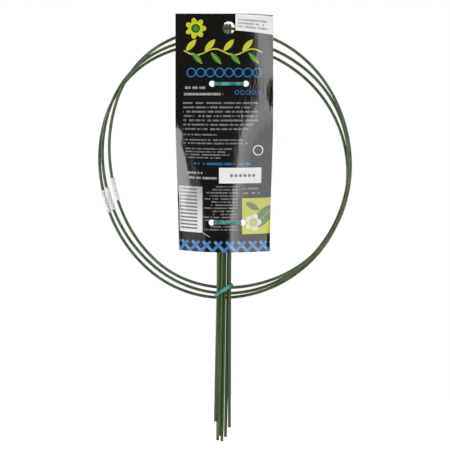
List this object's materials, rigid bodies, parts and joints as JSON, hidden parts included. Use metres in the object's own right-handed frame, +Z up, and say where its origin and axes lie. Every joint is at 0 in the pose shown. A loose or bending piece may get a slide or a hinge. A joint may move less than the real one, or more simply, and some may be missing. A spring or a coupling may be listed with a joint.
{
  "type": "plant support ring stake",
  "caption": "Ring supports for plants: green coated wire rings with sleeves over their joints and straight legs threaded on by eyes, tied to a printed hang card.",
  "frame": {"origin": "centre of the card's hang hole, halfway through the card", "axes": "+Z up along the legs, +X to the right across the card, +Y to the back; the card's print faces -Y"},
  "size_m": [0.1822, 0.0189, 0.3063],
  "materials": {
    "green_coating": "satin green coating on wire",
    "steel_core": "plain drawn steel wire",
    "sleeve": "milky soft plastic tube",
    "card": "glossy laminated print",
    "sticker": "matt paper",
    "tie_ribbon": "satin plastic ribbon"
  },
  "bodies": {
    "pack": {"hang_card": "card", "price_sticker": "sticker", "date_sticker": "sticker", "upper_tie_ribbon": "tie_ribbon", "upper_tie_wire": "steel_core", "lower_tie_ribbon": "tie_ribbon", "lower_tie_wire": "steel_core", "leg_tie_ribbon": "tie_ribbon", "leg_tie_wire": "steel_core", "leg_front_left_coat": "green_coating", "leg_front_left_core": "steel_core", "leg_front_centre_coat": "green_coating", "leg_front_centre_core": "steel_core", "leg_front_right_coat": "green_coating", "leg_front_right_core": "steel_core", "leg_middle_left_coat": "green_coating", "leg_middle_left_core": "steel_core", "leg_middle_centre_coat": "green_coating", "leg_middle_centre_core": "steel_core", "leg_middle_right_coat": "green_coating", "leg_middle_right_core": "steel_core", "leg_rear_left_coat": "green_coating", "leg_rear_left_core": "steel_core", "leg_rear_centre_coat": "green_coating", "leg_rear_centre_core": "steel_core", "leg_rear_right_coat": "green_coating", "leg_rear_right_core": "steel_core"},
    "ring_front": {"ring_front_coat": "green_coating", "ring_front_core": "steel_core"},
    "sleeve_front": {"sleeve_front": "sleeve"},
    "ring_middle": {"ring_middle_coat": "green_coating", "ring_middle_core": "steel_core"},
    "sleeve_middle": {"sleeve_middle": "sleeve"},
    "ring_rear": {"ring_rear_coat": "green_coating", "ring_rear_core": "steel_core"},
    "sleeve_rear": {"sleeve_rear": "sleeve"}
  },
  "joints": [
    {"name": "rear_ring_fold", "type": "hinge", "parent": "pack", "child": "ring_rear", "pos_m": [-0.00235, 0.01055, -0.0115], "axis": [0.9966, 0, -0.0819], "range_deg": [0, 90]},
    {"name": "middle_ring_fold", "type": "hinge", "parent": "pack", "child": "ring_middle", "pos_m": [0, 0.0073, -0.0074], "axis": [0.9965, 0, -0.0837], "range_deg": [0, 67.5]},
    {"name": "front_ring_fold", "type": "hinge", "parent": "pack", "child": "ring_front", "pos_m": [-0.0014, 0.00405, -0.0003], "axis": [0.9995, 0, -0.0314], "range_deg": [0, 45]},
    {"name": "front_sleeve_slide", "type": "hinge", "parent": "ring_front", "child": "sleeve_front", "pos_m": [0.03674, 0.00697, -0.08499], "axis": [-0.0011, -0.9994, -0.035], "range_deg": [-5, 5]},
    {"name": "middle_sleeve_slide", "type": "hinge", "parent": "ring_middle", "child": "sleeve_middle", "pos_m": [0.02221, 0.01006, -0.08822], "axis": [-0.0029, -0.9994, -0.0349], "range_deg": [-5, 5]},
    {"name": "rear_sleeve_slide", "type": "hinge", "parent": "ring_rear", "child": "sleeve_rear", "pos_m": [0.02003, 0.01331, -0.09232], "axis": [-0.0029, -0.9994, -0.0349], "range_deg": [-5, 5]}
  ],
  "couplings": [
    {"joint": "middle_ring_fold", "follows": "rear_ring_fold", "ratio": 0.75},
    {"joint": "front_ring_fold", "follows": "rear_ring_fold", "ratio": 0.5}
  ]
}
